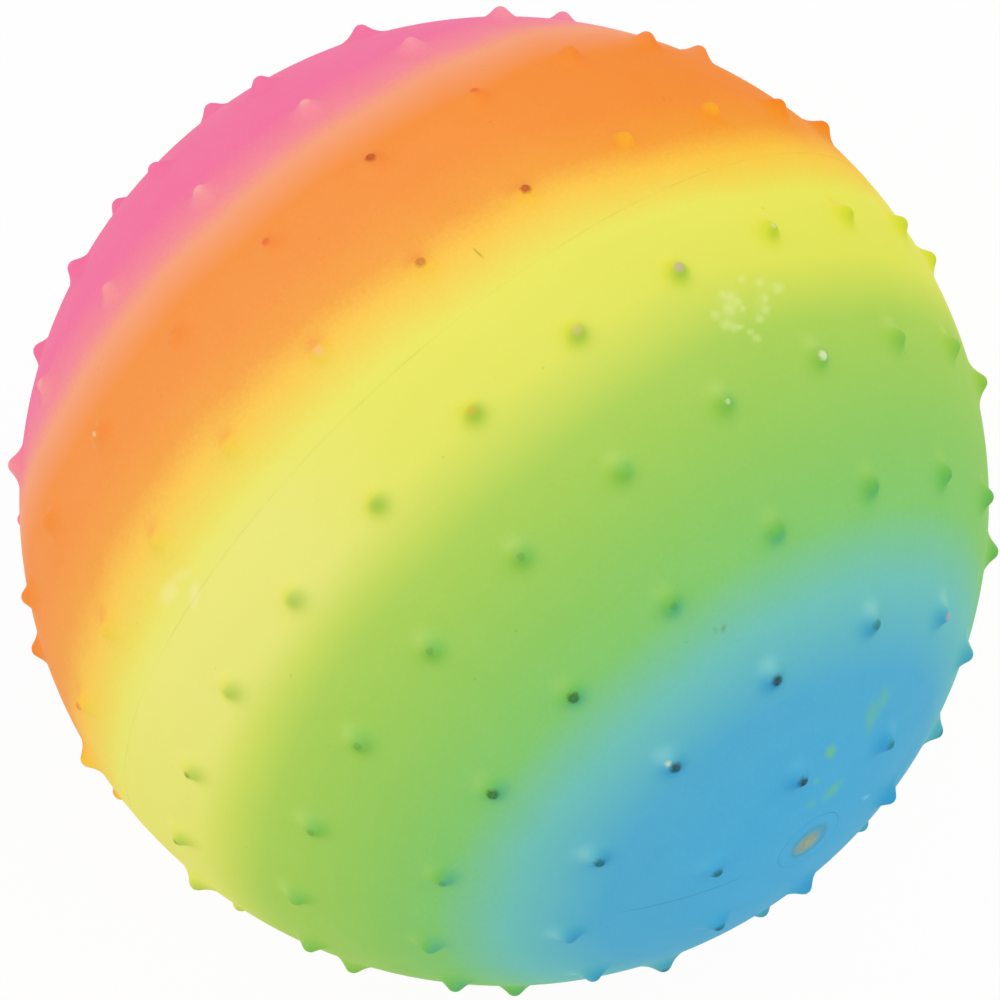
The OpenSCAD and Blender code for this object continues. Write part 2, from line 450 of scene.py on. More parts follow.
class SprayFinish(bpy.types.PropertyGroup):
    """How the spray lies on the ball."""

    axis_lean: angle("Axis lean", "Lean of the paint axis from the valve axis", 3.2)
    axis_turn: angle("Axis turn", "Turn from straight up towards which the paint axis leans", 54)
    # This share sets both the nubs' spray colours and the painted shade and painted light on their sides
    nub_share: amount("Nub share", "How strongly the spray differs on the sides of the nubs", 1.0)
    wobble: angle("Wobble", "Unevenness of the bands' edges", 3.0)
    grain: angle("Grain", "Spread of the spray's fine drops", 1.8)
    orange_reach: angle("Orange reach", "How far the orange runs into the yellow on one side", 4.5)
    thin_share: amount("Thin share", "Paleness on the side where the spray is thin", 0.1)
    side_turn: angle("Side turn", "Turn from straight up of the side on which the yellow runs wide", 107.2)
    green_bend: angle("Green bend", "How far the yellow runs into the green on that side", 2.1)
    orange_bend: angle("Orange bend", "How far the orange band's edge waves", 1.1)
    pink_bend: angle("Pink bend", "How far the pink draws back on the other side", 3)
    pale_share: amount("Pale share", "Paleness of the yellow on the side where it runs wide", 0.17)
    grain_size: length("Grain size", "Size of the spray's fine drops", 0.0008)
    mottle_size: length("Mottle size", "Size of the cloudy patches in the spray", 0.009)
    wobble_size: length("Wobble size", "Size of the waves in the bands' edges", 0.035)
    peel_height: length("Peel height", "Height of the film's fine texture", 0.00002)
    roughness: amount("Roughness", "Mean roughness of the satin film", 0.56)


class StageSettings(bpy.types.PropertyGroup):
    """The camera, the lights and the floor."""

    camera_azimuth: angle("Camera azimuth", "Direction of the camera round the ball", 51.19)
    camera_elevation: angle("Camera elevation", "Height of the camera over the horizon", 63.65)
    camera_distance: length("Camera distance", "Distance from the camera to the ball's centre", 8)
    floor_height: length("Floor height", "Height of the floor, at the ball's lowest nub", CAD_BOX[0].z)
    floor_radius: length("Floor radius", "Radius of the round floor", 4)
    floor_white: amount("Floor white", "Brightness of the pale floor", 0.9)
    floor_glow: amount("Floor glow", "Share of plain white in the floor as the camera sees it", 0.95)
    sky: amount("Sky", "Strength of the even light from all round", 0.92)
    softbox_distance: length("Softbox distance", "Distance of the softboxes from the ball", 1.2)
    softbox_side: length("Softbox side", "Side of a softbox", 0.8)
    softbox_power: amount("Softbox power", "Power of a softbox in watts", 0.8)


def towards(angle_from_axis, turn):
    """Unit vector at an angle from the valve axis, turned about it from straight up."""
    out = math.sin(angle_from_axis)
    return Vector((math.cos(angle_from_axis), -out * math.sin(turn), out * math.cos(turn)))


def photo_axes(stage):
    """Unit vectors to the right, up and towards the viewer of the photograph."""
    flat = math.cos(stage.camera_elevation)
    azimuth = stage.camera_azimuth
    back = Vector((math.sin(azimuth) * flat, -math.cos(azimuth) * flat, math.sin(stage.camera_elevation)))
    right = Vector((math.cos(azimuth), math.sin(azimuth), 0))
    return right, back.cross(right), back


def nub_ways(skin):
    """Unit vectors to the nubs, one list for each ring, from the valve to the far side."""
    halves = (
        (skin.valve_half_first, skin.valve_half_last, VALVE_HALF_TURN_SHARES),
        (skin.far_half_first, skin.far_half_last, FAR_HALF_TURN_SHARES),
    )
    rings = []
    for first, last, turn_shares in halves:
        for ring, share in enumerate(turn_shares):
            ring_angle = first + (last - first) * ring / (len(turn_shares) - 1)
            count = round(skin.nubs_round * math.sin(ring_angle))
            pitch = math.tau / count
            turns = [skin.ring_start_turn + (place + share) * pitch for place in range(count)]
            rings.append([towards(ring_angle, turn) for turn in turns])
    return rings


def tip_spots(rings):
    """The worn spot of each nub, in the order of the rings."""
    chance = random.Random(FINISH_SEED)
    spots = []
    for ways, finishes, usual in zip(rings, TIP_FINISHES, USUAL_FINISHES):
        if len(finishes) != len(ways):
            raise ValueError(f"a ring has {len(ways)} nubs, and {len(finishes)} finishes")
        for letter in finishes:
            drawn = chance.choice(usual)
            spots.append(TIP_SPOTS[drawn if letter == "?" else letter])
    return spots


def fading(off, spread):
    """A share that is one at no distance and fades out with the distance."""
    return math.exp(-((off.length / spread) ** 2) / 2)


def nub_tints(spray, place, nub):
    """By how much the band's angle and the film's thickness, which carries painted shade and painted light,
    differ at a place on a nub or round it.
    """
    off = place - nub
    along_ring = VALVE_AXIS.cross(nub).normalized()
    to_valve = nub.normalized().cross(along_ring)
    near = fading(off - to_valve * NEAR_TINT_AT, NEAR_TINT_SPREAD)
    far = fading(off + to_valve * FAR_TINT_AT, FAR_TINT_SPREAD)
    aside = fading(off, RING_TINT_SPREAD) * off.dot(along_ring) / RING_TINT_SPREAD
    shift = spray.far_shift * far - spray.near_shift * near + spray.ring_shift * aside
    # A thicker film darkens a side as painted shade, a thinner one makes it paler as painted light
    film = spray.near_film * near + spray.far_film * far + spray.ring_film * aside
    return math.radians(shift), film


class NubProfile:
    """A nub's outline: a round tip, a straight flank and a fillet that sweeps into the skin."""

    def __init__(self, skin):
        self.ball_radius = skin.ball_radius
        self.tip_radius = skin.nub_tip_radius
        self.fillet_radius = skin.nub_fillet_radius
        self.flank_angle = skin.nub_flank_angle
        self.tip_centre = self.ball_radius + skin.nub_height - self.tip_radius
        out = Vector((math.cos(self.flank_angle), math.sin(self.flank_angle)))
        down = Vector((math.sin(self.flank_angle), -math.cos(self.flank_angle)))
        centre = Vector((0, self.tip_centre))
        shoulder = centre + self.tip_radius * out
        fillet_high = centre + (self.tip_radius + self.fillet_radius) * out
        fillet_reach = self.ball_radius + self.fillet_radius * FILLET_RISE_SHARE
        drop = self.tip_centre * math.cos(self.flank_angle)
        flank_length = drop - math.sqrt(drop**2 - fillet_high.length_squared + fillet_reach**2)
        foot = shoulder + flank_length * down
        self.flank_offset = shoulder.dot(out)
        self.fillet_centre = fillet_high + flank_length * down
        self.shoulder_angle = math.atan2(shoulder.x, shoulder.y)
        self.foot_angle = math.atan2(foot.x, foot.y)
        self.end_angle = math.atan2(self.fillet_centre.x, self.fillet_centre.y)

    def radius(self, away):
        """Distance from the ball's centre to the skin, at an angle away from the nub's axis."""
        if away <= self.shoulder_angle:
            across = self.tip_centre * math.sin(away)
            return self.tip_centre * math.cos(away) + math.sqrt(self.tip_radius**2 - across**2)
        if away <= self.foot_angle:
            return self.flank_offset / math.sin(away + self.flank_angle)
        if away < self.end_angle:
            along = Vector((math.sin(away), math.cos(away))).dot(self.fillet_centre)
            spread = self.fillet_centre.length_squared - along**2
            return max(self.ball_radius, along - math.sqrt(self.fillet_radius**2 - spread))
        return self.ball_radius


def point_tree(points):
    """A search tree of points."""
    tree = kdtree.KDTree(len(points))
    for index, point in enumerate(points):
        tree.insert(point, index)
    tree.balance()
    return tree


def split_near(bm, tree, reach):
    """Splits every face in four whose middle lies within reach of one of the tree's points."""
    near = [tree.find(face.calc_center_median())[2] < reach for face in bm.faces]
    bm.faces.index_update()
    edges = [edge for edge in bm.edges if any(near[face.index] for face in edge.link_faces)]
    bmesh.ops.subdivide_edges(bm, edges=edges, cuts=1, use_grid_fill=True)
    bmesh.ops.triangulate(bm, faces=bm.faces[:])


def cut_across(bm, along, clear_outer=False):
    """Cuts a mesh square to the valve axis, and clears what lies further along it if asked."""
    bmesh.ops.bisect_plane(
        bm,
        geom=bm.verts[:] + bm.edges[:] + bm.faces[:],
        dist=PLANE_MERGE_DISTANCE,
        plane_co=VALVE_AXIS * along,
        plane_no=VALVE_AXIS,
        clear_outer=clear_outer,
    )


def open_valve_hole(bm, sphere_radius):
    """Cuts a round opening about the valve axis, and returns the edges of its rim."""
    cut_across(bm, math.sqrt(sphere_radius**2 - COLLAR_RADIUS**2), clear_outer=True)
    rim = [vert for vert in bm.verts if vert.is_boundary]
    bmesh.ops.remove_doubles(bm, verts=rim, dist=LOOP_MERGE_DISTANCE)
    return [edge for edge in bm.edges if edge.is_boundary]


def extrude_to_circle(bm, edges, along, radius):
    """Extrudes a rim and lays its new edge on a circle about the valve axis."""
    made = bmesh.ops.extrude_edge_only(bm, edges=edges)["geom"]
    verts = [item for item in made if isinstance(item, bmesh.types.BMVert)]
    for vert in verts:
        out = vert.co - VALVE_AXIS * vert.co.x
        vert.co = VALVE_AXIS * along + out.normalized() * radius
    rim = set(verts)
    found = [item for item in made if isinstance(item, bmesh.types.BMEdge)]
    return [edge for edge in found if edge.verts[0] in rim and edge.verts[1] in rim]


def on_sphere(sphere_radius, away):
    """Place along the valve axis of a sphere's surface, away from the axis."""
    return math.sqrt(sphere_radius**2 - away**2)


def raise_nubs(bm, skin, colours):
    """Moves a sphere's surface out into nubs and the parting line, and notes the nubs for the paint."""
    rings = nub_ways(skin)
    ways = [way for ring in rings for way in ring]
    sprays_and_shading = [spray for ring, spray in zip(rings, NUB_SPRAYS_AND_SHADING) for way in ring]
    spots = tip_spots(rings)
    profile = NubProfile(skin)
    tree = point_tree([way * skin.ball_radius for way in ways])
    for reach in NUB_SPLIT_REACHES:
        split_near(bm, tree, reach)
    for side in (-1, 0, 1):
        cut_across(bm, side * skin.seam_half_width)

    nub_axis = bm.verts.layers.float_vector.new("nub_axis")
    tip_paint = bm.verts.layers.float_color.new("tip_paint")
    tip_radius = bm.verts.layers.float.new("tip_radius")
    tip_middle = bm.verts.layers.float.new("tip_middle")
    band_shift = bm.verts.layers.float.new("band_shift")
    # The film's thickness on the nubs carries painted shade and painted light as well as thicker and
    # thinner spray
    film_change = bm.verts.layers.float.new("film_change")
    for vert in bm.verts:
        way = vert.co.normalized()
        on_seam = abs(vert.co.x) < skin.seam_half_width / 2
        nub, index, distance = tree.find(way * skin.ball_radius)
        radius = profile.radius(way.angle(nub))
        vert.co = way * (radius + skin.seam_height if on_seam else radius)
        if distance < NUB_ZONE:
            spot = spots[index]
            vert[nub_axis] = ways[index]
            vert[tip_paint] = (*getattr(colours, spot.paint), spot.cover)
            vert[tip_radius] = spot.radius
            vert[tip_middle] = spot.middle_share
            vert[band_shift], vert[film_change] = nub_tints(sprays_and_shading[index], way * skin.ball_radius, nub)


def roll_lip(bm, skin, valve):
    """Opens the skin at the valve, with a rounded lip and the cut face of the wall."""
    hole_radius = valve.rim_radius + skin.hole_gap
    lip_radius = hole_radius + skin.hole_lip
    lip_along = on_sphere(skin.ball_radius, lip_radius) - skin.hole_lip
    rim = open_valve_hole(bm, skin.ball_radius)
    for step in range(LIP_STEPS + 1):
        turn = math.pi / 2 * step / LIP_STEPS
        along = lip_along + skin.hole_lip * math.cos(turn)
        rim = extrude_to_circle(bm, rim, along, lip_radius - skin.hole_lip * math.sin(turn))
    extrude_to_circle(bm, rim, on_sphere(skin.ball_radius - skin.wall, hole_radius), hole_radius)


def add_inner_wall(bm, skin, valve_tree):
    """Adds the skin's inner face, and closes the wall round the valve's hole."""
    radius = skin.ball_radius - skin.wall
    inner = bmesh.new()
    bmesh.ops.create_icosphere(inner, subdivisions=INNER_SPHERE_SPLITS, radius=radius)
    for reach in VALVE_SPLIT_REACHES:
        split_near(inner, valve_tree, reach)
    for vert in inner.verts:
        vert.co = vert.co.normalized() * radius
    open_valve_hole(inner, radius)
    bmesh.ops.reverse_faces(inner, faces=inner.faces[:])
    mesh = bpy.data.meshes.new("inner_wall")
    inner.to_mesh(mesh)
    inner.free()
    bm.from_mesh(mesh)
    bpy.data.meshes.remove(mesh)
    bmesh.ops.bridge_loops(bm, edges=[edge for edge in bm.edges if edge.is_boundary])


def skin_mesh(skin, valve, colours):
    """The skin: a sphere with nubs, a parting line and a lipped hole for the valve, and its inner face."""
    valve_tree = point_tree([VALVE_AXIS * skin.ball_radius])
    bm = bmesh.new()
    bmesh.ops.create_icosphere(bm, subdivisions=SPHERE_SPLITS, radius=skin.ball_radius)
    for reach in VALVE_SPLIT_REACHES:
        split_near(bm, valve_tree, reach)
    raise_nubs(bm, skin, colours)
    roll_lip(bm, skin, valve)
    add_inner_wall(bm, skin, valve_tree)
    bmesh.ops.triangulate(bm, faces=[face for face in bm.faces if len(face.verts) > MOST_CORNERS])
    bmesh.ops.recalc_face_normals(bm, faces=bm.faces[:])
    return bm


def spin_profile(points, closed):
    """Spins a profile, whose points lie along the valve axis and away from it, into a mesh."""
    bm = bmesh.new()
    verts = [bm.verts.new((along, 0, away)) for along, away in points]
    pairs = list(zip(verts, verts[1:]))
    if closed:
        pairs.append((verts[-1], verts[0]))
    edges = [bm.edges.new(pair) for pair in pairs]
    bmesh.ops.spin(
        bm,
        geom=verts + edges,
        cent=(0, 0, 0),
        axis=VALVE_AXIS,
        angle=math.tau,
        steps=SPIN_STEPS,
        use_merge=True,
    )
    bmesh.ops.remove_doubles(bm, verts=bm.verts[:], dist=MERGE_DISTANCE)
    bmesh.ops.recalc_face_normals(bm, faces=bm.faces[:])
    return bm


def round_ring(bm, corner, radius):
    """Rounds the ring of edges at one corner of a spun profile."""

    def at_corner(vert):
        away = math.hypot(vert.co.y, vert.co.z)
        return math.dist((vert.co.x, away), corner) < MERGE_DISTANCE

    edges = [edge for edge in bm.edges if all(at_corner(vert) for vert in edge.verts)]
    bmesh.ops.bevel(
        bm,
        geom=edges,
        offset=radius,
        segments=EDGE_SEGMENTS,
        profile=0.5,
        affect="EDGES",
        material=-1,
    )


def dome_points(sphere_radius, first, last):
    """Profile points over a sphere, from one distance from the valve axis to another."""
    aways = [first + (last - first) * step / DOME_STEPS for step in range(DOME_STEPS + 1)]
    return [(on_sphere(sphere_radius, away), away) for away in aways]


def seat_mesh(skin, valve):
    """The valve seat: a domed rim with the plug's recess, a flange inside the skin and a bored sleeve."""
    recess_radius = valve.head_radius + valve.head_gap
    recess_floor = valve.head_top - valve.head_thickness
    inner_radius = skin.ball_radius - skin.wall
    flange_under = on_sphere(inner_radius, valve.flange_radius) - valve.flange_thickness
    rim_dome = dome_points(skin.ball_radius, recess_radius, valve.rim_radius)
    flange_dome = dome_points(inner_radius, valve.rim_radius, valve.flange_radius)
    recess_corner = (recess_floor, recess_radius)
    bore_top = (recess_floor, valve.bore_radius)
    bore_end = (valve.sleeve_end, valve.bore_radius)
    sleeve_end = (valve.sleeve_end, valve.sleeve_end_radius)
    sleeve_root = (flange_under, valve.sleeve_radius)
    flange_foot = (flange_under, valve.flange_radius)
    bore = [recess_corner, bore_top, bore_end]
    underside = [sleeve_end, sleeve_root, flange_foot]
    bm = spin_profile(bore[::-1] + rim_dome + flange_dome + underside[::-1], closed=True)
    round_ring(bm, rim_dome[0], valve.head_edge)
    round_ring(bm, rim_dome[-1], valve.rim_edge)
    for corner in bore + underside + [flange_dome[-1]]:
        round_ring(bm, corner, valve.small_edge)
    return bm


def plug_mesh(valve):
    """The valve plug: a round head with a domed face, a straight shank and a tapered lead."""
    head_under = valve.head_top - valve.head_thickness
    shank_radius = valve.bore_radius - valve.shank_gap
    lead_start = valve.lead_end + valve.lead_length
    face_dome = dome_points(valve.head_top + valve.head_bulge, 0, valve.head_radius)
    under_corner = (head_under, valve.head_radius)
    shank_root = (head_under, shank_radius)
    lead_corner = (lead_start, shank_radius)
    end_corner = (valve.lead_end, valve.lead_end_radius)
    points = face_dome + [under_corner, shank_root, lead_corner, end_corner, (valve.lead_end, 0)]
    bm = spin_profile(points, closed=False)
    round_ring(bm, face_dome[-1], valve.head_edge)
    for corner in (under_corner, shank_root, lead_corner, end_corner):
        round_ring(bm, corner, valve.small_edge)
    return bm


def add_piece(name, bm, material, body, node):
    """Makes a finished mesh a smooth piece that rides on a body and stands for a packed node."""
    mesh = bpy.data.meshes.new(name)
    bm.to_mesh(mesh)
    bm.free()
    mesh.shade_smooth()
    mesh.set_sharp_from_angle(angle=SHARP_ANGLE)
    mesh.materials.append(material)
    piece = bpy.data.objects.new(name, mesh)
    bpy.context.scene.collection.objects.link(piece)
    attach(piece, body)
    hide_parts(node)


class NodeSketch:
    """Lays down the nodes of a material or of the world, and links the sockets that it is given."""

    # Places of the colour sockets of a mix node
    MIX_SHARE, MIX_BASE, MIX_TOP, MIX_RESULT = 0, 6, 7, 2

    def __init__(self, owner):
        owner.use_nodes = True
        self.nodes = owner.node_tree.nodes
        self.links = owner.node_tree.links
        self.nodes.clear()

    def add(self, kind, inputs, **settings):
        """A node with its settings made and its inputs linked or set."""
        node = self.nodes.new(kind)
        node.location.x = NODE_STEP * len(self.nodes)
        for name, value in settings.items():
            setattr(node, name, value)
        for socket, value in inputs.items():
            if isinstance(value, bpy.types.NodeSocket):
                self.links.new(value, node.inputs[socket])
            else:
                node.inputs[socket].default_value = value
        return node

    def math(self, operation, first, second=0.0):
        """Result of an operation on one or two numbers."""
        return self.add("ShaderNodeMath", {0: first, 1: second}, operation=operation).outputs[0]

    def plus(self, *terms):
        """Sum of a row of numbers."""
        total = terms[0]
        for term in terms[1:]:
            total = self.math("ADD", total, term)
        return total

    def times(self, *factors):
        """Product of a row of numbers."""
        product = factors[0]
        for factor in factors[1:]:
            product = self.math("MULTIPLY", product, factor)
        return product

    def measure(self, operation, first, second=(0, 0, 0)):
        """A number from one or two vectors, such as a length or a distance."""
        node = self.add("ShaderNodeVectorMath", {0: first, 1: second}, operation=operation)
        return node.outputs["Value"]

    def dot(self, first, second):
        """Dot product of two vectors."""
        return self.measure("DOT_PRODUCT", first, second)

    def vector(self, operation, first, second=(0, 0, 0)):
        """Result of an operation on one or two vectors."""
        node = self.add("ShaderNodeVectorMath", {0: first, 1: second}, operation=operation)
        return node.outputs["Vector"]

    def scaled(self, vector, factor):
        """A vector or colour times a number."""
        inputs = {"Vector": vector, "Scale": factor}
        return self.add("ShaderNodeVectorMath", inputs, operation="SCALE").outputs["Vector"]

    def noise(self, where, size, detail=PLAIN_DETAIL, output="Fac"):
        """Noise whose lumps are about one size across."""
        inputs = {"Vector": where, "Scale": 1 / size, "Detail": detail}
        return self.add("ShaderNodeTexNoise", inputs).outputs[output]

    def swing(self, where, size, reach, detail=PLAIN_DETAIL):
        """Noise that swings to both sides of zero."""
        middle = self.math("SUBTRACT", self.noise(where, size, detail), NOISE_MIDDLE)
        return self.times(middle, reach)

    def ragged(self, place, where, size, reach):
        """A place that noise pushes about, which makes the edge of a spot ragged."""
        push = self.vector("SUBTRACT", self.noise(where, size, output="Color"), (NOISE_MIDDLE,) * 3)
        return self.vector("ADD", place, self.scaled(push, reach))

    def rise(self, value, low, high, bottom=0.0, top=1.0):
        """A smooth step between two values."""
        inputs = {"Value": value, "From Min": low, "From Max": high, "To Min": bottom, "To Max": top}
        return self.add("ShaderNodeMapRange", inputs, interpolation_type="SMOOTHSTEP").outputs["Result"]

    def between(self, value, low, high, fade):
        """A share that is one from low to high and fades out on both sides."""
        start = self.rise(value, low - fade, low)
        end = self.rise(value, high, high + fade, 1.0, 0.0)
        return self.times(start, end)

    def mix(self, share, base, top):
        """One colour laid over another."""
        inputs = {self.MIX_SHARE: share, self.MIX_BASE: base, self.MIX_TOP: top}
        return self.add("ShaderNodeMix", inputs, data_type="RGBA").outputs[self.MIX_RESULT]

    def own(self, name, output="Fac"):
        """A value that the mesh itself carries."""
        return self.add("ShaderNodeAttribute", {}, attribute_name=name).outputs[output]


def opaque(colour):
    """A colour with full cover, as colour sockets take it."""
    return (*colour, 1.0)


def edge_shifts(sketch, where, way, from_axis, side, finish):
    """Angles by which the bands' edges run on: bends, the nubs' own shifts, wobble and grain."""
    beside = sketch.dot(way, towards(ORANGE_RUN_ANGLE, ORANGE_RUN_TURN))
    wave = sketch.math("SINE", sketch.times(side, -ORANGE_WAVES))
    pink = sketch.rise(side, *PINK_BEND_SIDES, -finish.pink_bend, 0.0)
    return [
        sketch.rise(beside, math.cos(ORANGE_RUN_SPREAD), 1.0, 0.0, finish.orange_reach),
        sketch.times(side, finish.green_bend, sketch.between(from_axis, *GREEN_BEND, BEND_FADE)),
        sketch.times(wave, finish.orange_bend, sketch.between(from_axis, *ORANGE_BEND, BEND_FADE)),
        sketch.times(pink, sketch.between(from_axis, *PINK_BEND, BEND_FADE)),
        sketch.times(sketch.own("band_shift"), finish.nub_share),
        sketch.swing(where, finish.wobble_size, finish.wobble),
        sketch.swing(where, finish.grain_size, finish.grain, FINE_DETAIL),
    ]


def spray_colour(sketch, where, finish, colours):
    """Colour of the sprayed bands, which blend into each other with a fine grain."""
    way = sketch.vector("NORMALIZE", where)
    from_axis = sketch.math("ARCCOSINE", sketch.dot(way, towards(finish.axis_lean, finish.axis_turn)))
    side = sketch.dot(way, towards(math.pi / 2, finish.side_turn))
    place = sketch.plus(from_axis, *edge_shifts(sketch, where, way, from_axis, side, finish))
    ramp = sketch.add("ShaderNodeValToRGB", {"Fac": sketch.math("DIVIDE", place, math.pi)})
    stops = ramp.color_ramp.elements
    while len(stops) < len(PAINT_BANDS):
        stops.new(1.0)
    for stop, (name, degrees) in zip(stops, PAINT_BANDS):
        stop.position = math.radians(degrees) / math.pi
        stop.color = opaque(getattr(colours, name))
    thin_side = sketch.dot(way, towards(math.pi / 2, finish.axis_turn))
    thin = sketch.rise(thin_side, *THIN_SIDES, 0.0, finish.thin_share)
    thin = sketch.times(thin, sketch.between(from_axis, *THIN_BAND, THIN_FADE))
    pale = sketch.times(sketch.between(side, *PALE_SIDES, PALE_SIDE_FADE), finish.pale_share)
    pale = sketch.times(pale, sketch.between(from_axis, *PALE_BAND, PALE_FADE))
    return sketch.mix(sketch.plus(thin, pale), ramp.outputs["Color"], opaque(colours.cream))


def film_colour(sketch, colour, where, finish):
    """The spray's colour at the film's thickness, which is uneven, with painted shade and painted light on
    the sides of the nubs.
    """
    nub_shading = sketch.times(sketch.own("film_change"), finish.nub_share)
    mottle = sketch.swing(where, finish.mottle_size, MOTTLE_REACH)
    grain = sketch.swing(where, finish.grain_size, GRAIN_REACH, FINE_DETAIL)
    film = sketch.plus(nub_shading, 1.0, mottle, grain)
    return sketch.add("ShaderNodeGamma", {"Color": colour, "Gamma": film}).outputs["Color"]


def photo_sheet(sketch, where, skin, stage):
    """Places on the ball as pixels of the photograph: right, down and towards the viewer."""
    right, up, back = photo_axes(stage)
    scale = PHOTO_RADIUS / skin.ball_radius
    sheet = sketch.add(
        "ShaderNodeCombineXYZ",
        {
            "X": sketch.plus(sketch.dot(where, right * scale), PHOTO_CENTRE.x),
            "Y": sketch.plus(sketch.dot(where, up * -scale), PHOTO_CENTRE.y),
            "Z": sketch.dot(where, back * scale),
        },
    ).outputs["Vector"]
    return sketch.ragged(sheet, where, MARK_RAG_SIZE, MARK_RAG_REACH)


def mark_cover(sketch, sheet, at, half_size, lean, cover):
    """Cover of one mark: full in its middle, fading out at its edge."""
    off = Vector(at) - PHOTO_CENTRE
    depth = math.sqrt(PHOTO_RADIUS**2 - off.length_squared)
    local = sketch.add(
        "ShaderNodeMapping",
        {
            "Vector": sheet,
            "Location": (*at, depth),
            "Rotation": (0, 0, math.radians(lean)),
            "Scale": (*half_size, MARK_DEPTH),
        },
        vector_type="TEXTURE",
    ).outputs["Vector"]
    return sketch.rise(sketch.measure("LENGTH", local), MARK_CORE_SHARE, MARK_EDGE_SHARE, cover, 0.0)


def add_marks(sketch, colour, where, skin, stage, colours):
    """Stray mist, scratches and scuffs in the paint, and a painted highlight."""
    sheet = photo_sheet(sketch, where, skin, stage)
    for mark in PAINT_MARKS:
        cover = mark_cover(sketch, sheet, mark.at, mark.half_size, mark.lean, mark.cover)
        colour = sketch.mix(cover, colour, opaque(getattr(colours, mark.paint)))
    for across, down, radius in SCUFFS:
        cover = mark_cover(sketch, sheet, (across, down), (radius, radius), 0, SCUFF_COVER)
        colour = sketch.mix(cover, colour, opaque(colours.pale_scuff))
    return colour


def add_seams(sketch, colour, where, colours):
    """Soil along the mould's parting line, and along a short seam that runs from the valve."""
    soil = sketch.noise(where, SEAM_BREAK_SIZE, RICH_DETAIL)
    broken = sketch.rise(soil, *SEAM_BREAK_SHARES, *SEAM_COVERS)
    off_middle = sketch.math("ABSOLUTE", sketch.dot(where, VALVE_AXIS))
    line = sketch.times(sketch.rise(off_middle, *SEAM_FADE, 1.0, 0.0), broken)
    colour = sketch.mix(line, colour, opaque(colours.seam_soil))
    side_way = towards(math.pi / 2, VALVE_SEAM_TURN)
    off_seam = sketch.math("ABSOLUTE", sketch.dot(where, VALVE_AXIS.cross(side_way)))
    out = sketch.dot(where, side_way)
    start = sketch.rise(out, *VALVE_SEAM_START)
    end = sketch.rise(out, *VALVE_SEAM_END, 1.0, 0.0)
    line = sketch.rise(off_seam, *SEAM_FADE, VALVE_SEAM_COVER, 0.0)
    return sketch.mix(sketch.times(line, start, end), colour, opaque(colours.hairline))


def add_specks(sketch, colour, where, colours):
    """Sparse fine specks of soil."""
    cells = sketch.add("ShaderNodeTexVoronoi", {"Vector": where, "Scale": 1 / SPECK_SPACING})
    chosen = sketch.rise(sketch.dot(cells.outputs["Color"], (1, 0, 0)), *SPECK_CHOICE_SHARES)
    near = sketch.rise(cells.outputs["Distance"], *SPECK_FADE_SHARES, SPECK_COVER, 0.0)
    return sketch.mix(sketch.times(chosen, near), colour, opaque(colours.dull_scratch))


def add_tips(sketch, colour, where, skin, colours):
    """Worn and soiled spots on the tips of the nubs."""
    way = sketch.scaled(sketch.vector("NORMALIZE", where), skin.ball_radius)
    way = sketch.ragged(way, where, TIP_RAG_SIZE, TIP_RAG_REACH)
    tip = sketch.scaled(sketch.own("nub_axis", "Vector"), skin.ball_radius)
    radius = sketch.math("MAXIMUM", sketch.own("tip_radius"), MERGE_DISTANCE)
    away = sketch.math("DIVIDE", sketch.measure("DISTANCE", way, tip), radius)
    inside = sketch.rise(away, TIP_CORE_SHARE, TIP_EDGE_SHARE, 1.0, 0.0)
    ringed = sketch.rise(away, 0.0, TIP_RING_SHARE, sketch.own("tip_middle"), 1.0)
    patchy = sketch.rise(sketch.noise(where, TIP_PATCH_SIZE), *TIP_PATCH_SHARES, *TIP_PATCH_COVERS)
    cover = sketch.times(inside, ringed, sketch.own("tip_paint", "Alpha"), patchy)
    return sketch.mix(cover, colour, sketch.own("tip_paint", "Color"))


def finish_film(sketch, colour, where, finish):
    """The satin film: its colour, its uneven roughness and its fine texture."""
    grain = sketch.noise(where, finish.grain_size, FINE_DETAIL)
    height = sketch.plus(grain, sketch.noise(where, PEEL_SIZE))
    bump = sketch.add("ShaderNodeBump", {"Height": height, "Distance": finish.peel_height, "Strength": 1.0})
    rough = sketch.plus(sketch.swing(where, finish.mottle_size, ROUGHNESS_REACH), finish.roughness)
    film = sketch.add(
        "ShaderNodeBsdfPrincipled",
        {
            "Base Color": colour,
            "Roughness": rough,
            "Specular IOR Level": FILM_SPECULAR,
            "Normal": bump.outputs["Normal"],
        },
    )
    sketch.add("ShaderNodeOutputMaterial", {"Surface": film.outputs["BSDF"]})


def start_material(name):
    """A new material, the sketch of its nodes, and the places on its piece."""
    material = bpy.data.materials.new(name)
    sketch = NodeSketch(material)
    return material, sketch, sketch.add("ShaderNodeTexCoord", {}).outputs["Object"]


def skin_material(scene):
    """Sprayed soft plastic with worn nubs, seams and marks."""
    skin, colours = scene.ball_skin_sizes, scene.ball_paint
    finish, stage = scene.ball_spray, scene.ball_stage
    material, sketch, where = start_material("sprayed_skin")
    colour = spray_colour(sketch, where, finish, colours)
    colour = film_colour(sketch, colour, where, finish)
    colour = add_seams(sketch, colour, where, colours)
    colour = add_specks(sketch, colour, where, colours)
    colour = add_marks(sketch, colour, where, skin, stage, colours)
    colour = add_tips(sketch, colour, where, skin, colours)
    finish_film(sketch, colour, where, finish)
    return material


def from_valve(sketch, where, aside=(0, 0, 0)):
    """Distance from the valve axis, or from a line aside of it, with a ragged reach."""
    across = sketch.vector("MULTIPLY", sketch.vector("SUBTRACT", where, aside), (0, 1, 1))
    away = sketch.measure("LENGTH", across)
    return sketch.plus(away, sketch.swing(where, PLUG_RAG_SIZE, PLUG_RAG_REACH))


